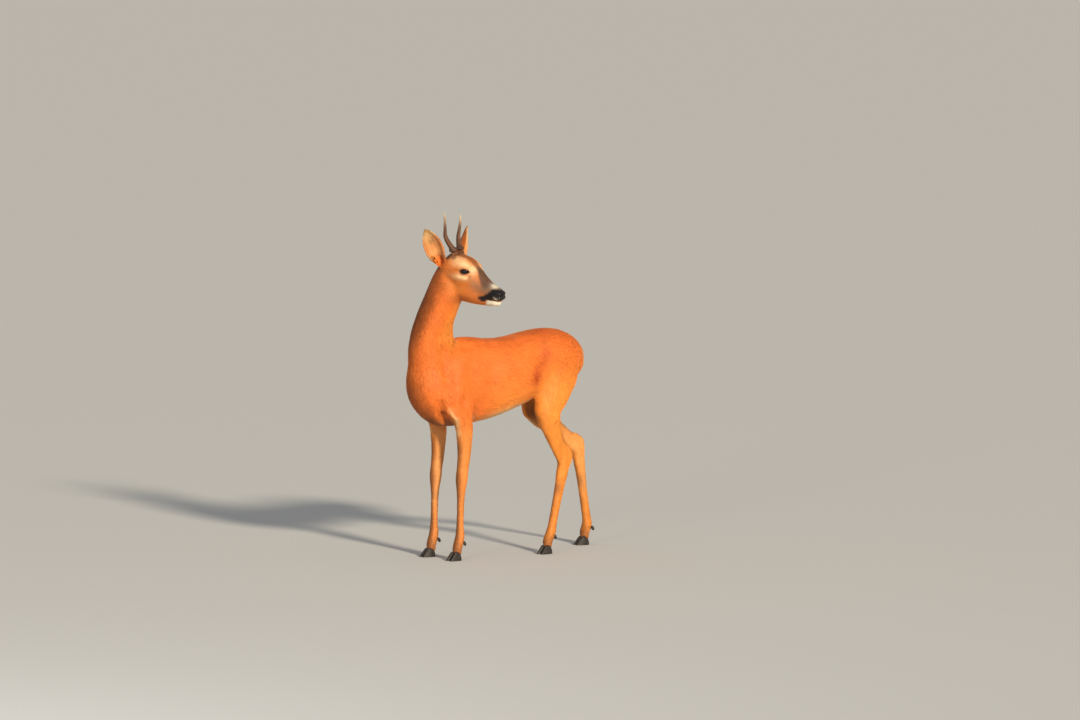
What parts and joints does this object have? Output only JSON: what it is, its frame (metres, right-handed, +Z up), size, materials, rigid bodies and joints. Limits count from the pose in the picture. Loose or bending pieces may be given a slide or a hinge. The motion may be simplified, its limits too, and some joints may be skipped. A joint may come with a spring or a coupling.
{
  "type": "roe deer buck",
  "caption": "Life-size still model of a standing roe deer buck in summer coat, with slender antlers, that looks back over its shoulder.",
  "frame": {"origin": "on the floor, at the middle of the model's box", "axes": "+X is the way the trunk faces, +Y the animal's left side, +Z up"},
  "size_m": [0.7182, 0.3184, 1.0355],
  "materials": {
    "coat": "short summer hair",
    "eye": "polished",
    "antler": "dry, lightly pearled",
    "claw": "satin horn"
  },
  "bodies": {
    "root": {"claw_fore_left_inner": "claw", "dewclaw_fore_left_inner": "claw", "claw_fore_left_outer": "claw", "dewclaw_fore_left_outer": "claw", "claw_fore_right_inner": "claw", "dewclaw_fore_right_inner": "claw", "claw_fore_right_outer": "claw", "dewclaw_fore_right_outer": "claw", "claw_hind_left_inner": "claw", "dewclaw_hind_left_inner": "claw", "claw_hind_left_outer": "claw", "dewclaw_hind_left_outer": "claw", "claw_hind_right_inner": "claw", "dewclaw_hind_right_inner": "claw", "claw_hind_right_outer": "claw", "dewclaw_hind_right_outer": "claw", "eye_left": "eye", "antler_left": "antler", "ear_left": "coat", "foreleg_left": "coat", "hindleg_left": "coat", "eye_right": "eye", "antler_right": "antler", "ear_right": "coat", "foreleg_right": "coat", "hindleg_right": "coat", "head": "coat", "neck": "coat", "trunk": "coat", "tail": "coat"}
  },
  "joints": []
}
